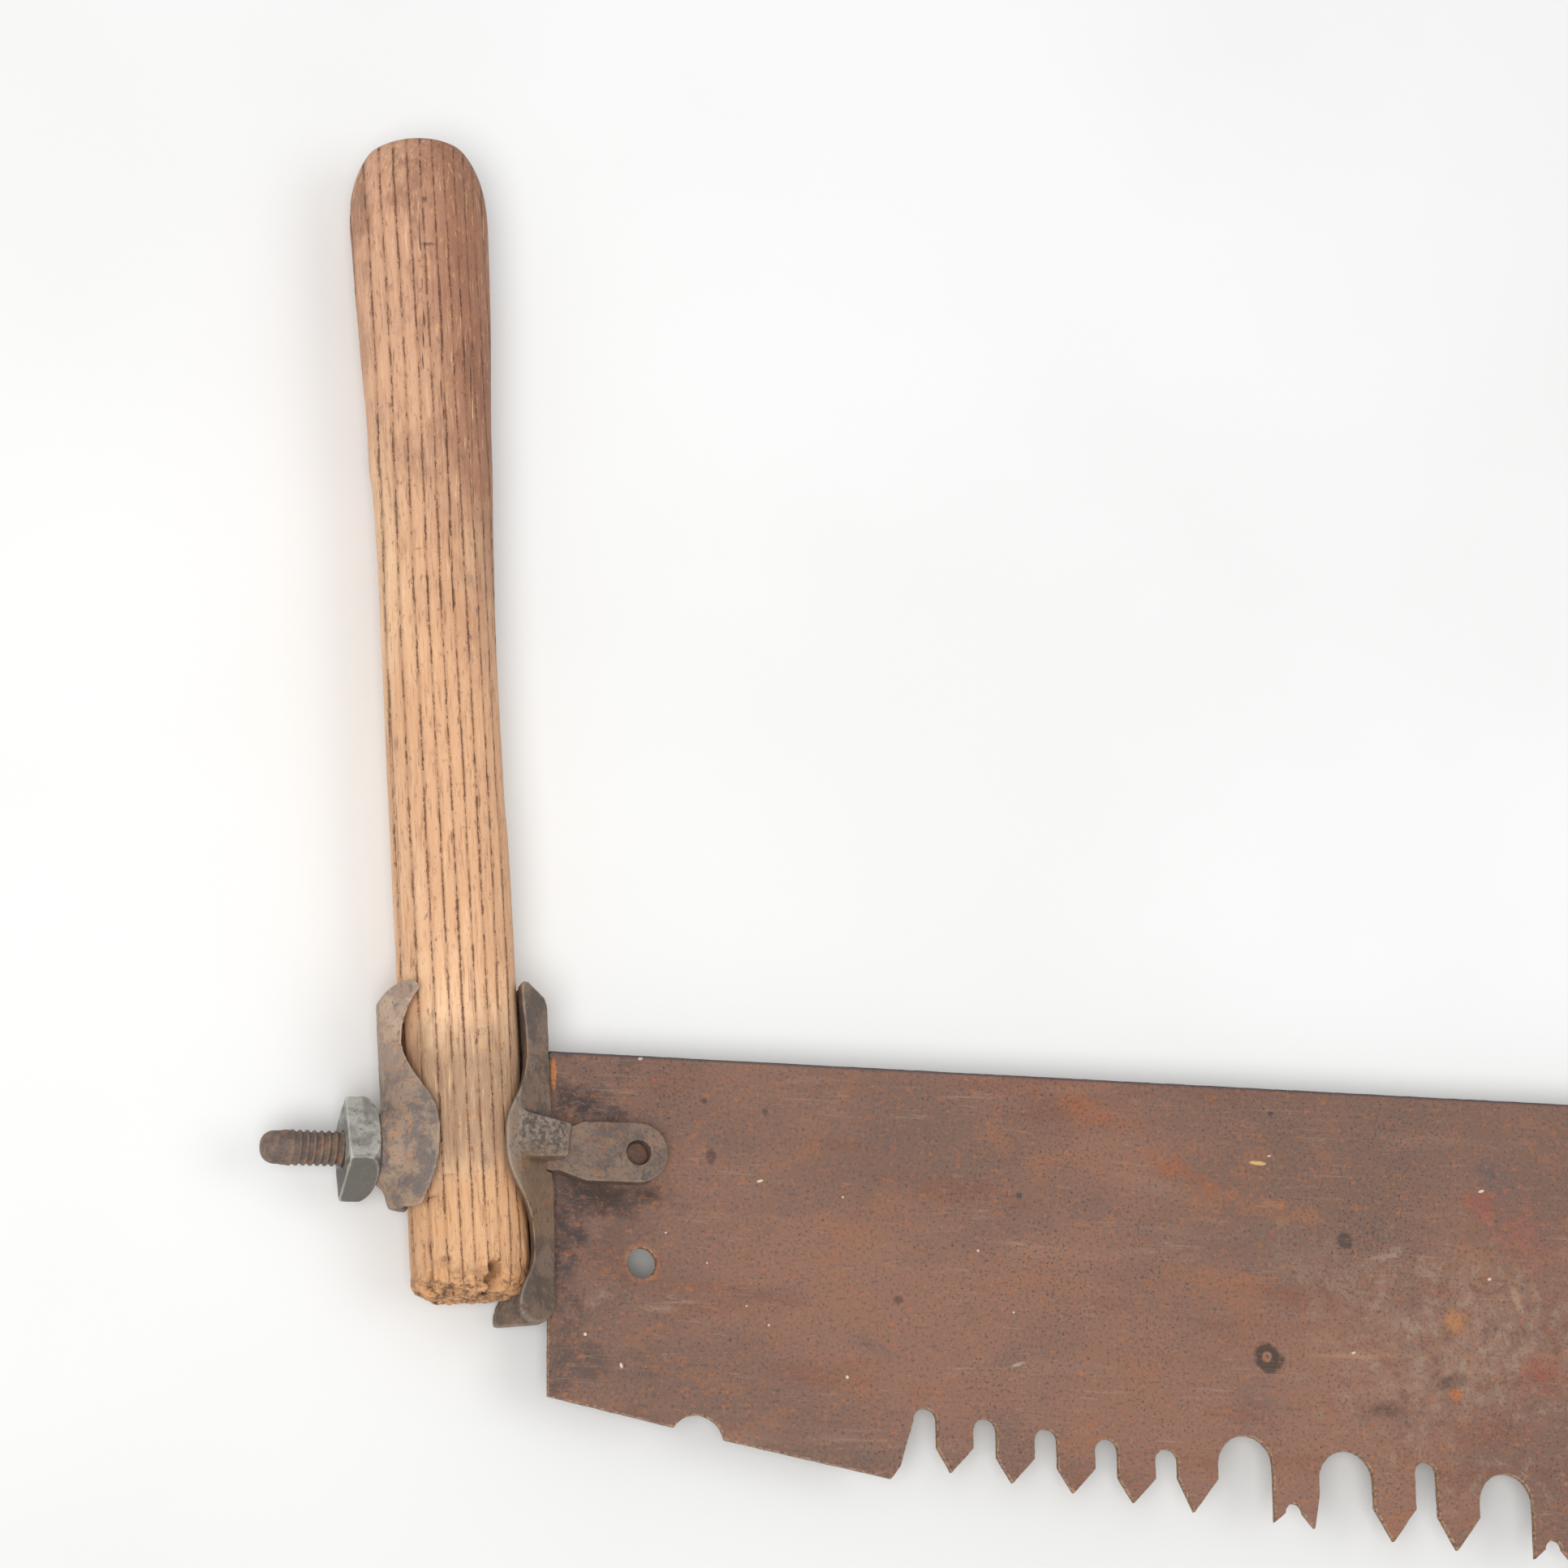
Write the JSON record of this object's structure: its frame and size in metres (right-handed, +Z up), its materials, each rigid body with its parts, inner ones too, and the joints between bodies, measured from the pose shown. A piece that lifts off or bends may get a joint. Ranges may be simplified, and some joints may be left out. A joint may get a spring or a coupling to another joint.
{
  "type": "crosscut saw",
  "caption": "Long crosscut saw lying flat: toothed steel blade with an upright wooden grip at each end, clamped by cast saddles, a forked draw bolt and a square nut.",
  "frame": {"origin": "under the middle of the saw's box, on the surface it lies on", "axes": "+X along the straight back of the blade, +Y from the teeth towards the grips, +Z up through the blade's thickness"},
  "size_m": [1.8476, 0.4618, 0.0442],
  "materials": {
    "blade_steel": "brown rust patina, matte",
    "grip_wood": "weathered open-grained hardwood, worn and stained",
    "castings": "brown oxidised, worn edges",
    "bolt_steel": "dark brown rust",
    "nut_steel": "grey-green oxidised"
  },
  "bodies": {
    "saw_frame": {"blade": "blade_steel", "left_draw_bolt": "bolt_steel", "left_hitch_pin": "bolt_steel", "right_draw_bolt": "bolt_steel", "right_hitch_pin": "bolt_steel"},
    "left_front_saddle_body": {"left_front_saddle": "castings"},
    "left_grip_body": {"left_grip": "grip_wood"},
    "left_back_saddle_body": {"left_back_saddle": "castings"},
    "left_square_nut_body": {"left_square_nut": "nut_steel"},
    "right_front_saddle_body": {"right_front_saddle": "castings"},
    "right_grip_body": {"right_grip": "grip_wood"},
    "right_back_saddle_body": {"right_back_saddle": "castings"},
    "right_square_nut_body": {"right_square_nut": "nut_steel"}
  },
  "joints": [
    {"name": "left_back_saddle_slide", "type": "slide", "parent": "saw_frame", "child": "left_back_saddle_body", "axis": [-0.9998, -0.0183, 0], "range_m": [0, 0.01058]},
    {"name": "left_grip_slide", "type": "slide", "parent": "saw_frame", "child": "left_grip_body", "axis": [-0.9998, -0.0183, 0], "range_m": [0, 0.0053]},
    {"name": "left_front_saddle_slide", "type": "slide", "parent": "saw_frame", "child": "left_front_saddle_body", "axis": [-0.9998, -0.0183, 0], "range_m": [0, 0.00213]},
    {"name": "left_nut_turn", "type": "hinge", "parent": "left_back_saddle_body", "child": "left_square_nut_body", "pos_m": [-0.812, -0.09003, 0.02211], "axis": [-0.9998, -0.0183, 0], "range_deg": [0, 1800]},
    {"name": "right_back_saddle_slide", "type": "slide", "parent": "saw_frame", "child": "right_back_saddle_body", "axis": [0.9998, -0.0183, 0], "range_m": [0, 0.01058]},
    {"name": "right_grip_slide", "type": "slide", "parent": "saw_frame", "child": "right_grip_body", "axis": [0.9998, -0.0183, 0], "range_m": [0, 0.0053]},
    {"name": "right_front_saddle_slide", "type": "slide", "parent": "saw_frame", "child": "right_front_saddle_body", "axis": [0.9998, -0.0183, 0], "range_m": [0, 0.00213]},
    {"name": "right_nut_turn", "type": "hinge", "parent": "right_back_saddle_body", "child": "right_square_nut_body", "pos_m": [0.812, -0.09003, 0.02211], "axis": [0.9998, -0.0183, 0], "range_deg": [0, 1800]}
  ],
  "couplings": [
    {"joint": "left_grip_slide", "follows": "left_back_saddle_slide", "ratio": 0.5},
    {"joint": "left_front_saddle_slide", "follows": "left_back_saddle_slide", "ratio": 0.2},
    {"joint": "left_nut_turn", "follows": "left_back_saddle_slide", "rad_per_m": 2968.4},
    {"joint": "right_grip_slide", "follows": "right_back_saddle_slide", "ratio": 0.5},
    {"joint": "right_front_saddle_slide", "follows": "right_back_saddle_slide", "ratio": 0.2},
    {"joint": "right_nut_turn", "follows": "right_back_saddle_slide", "rad_per_m": 2968.4}
  ]
}
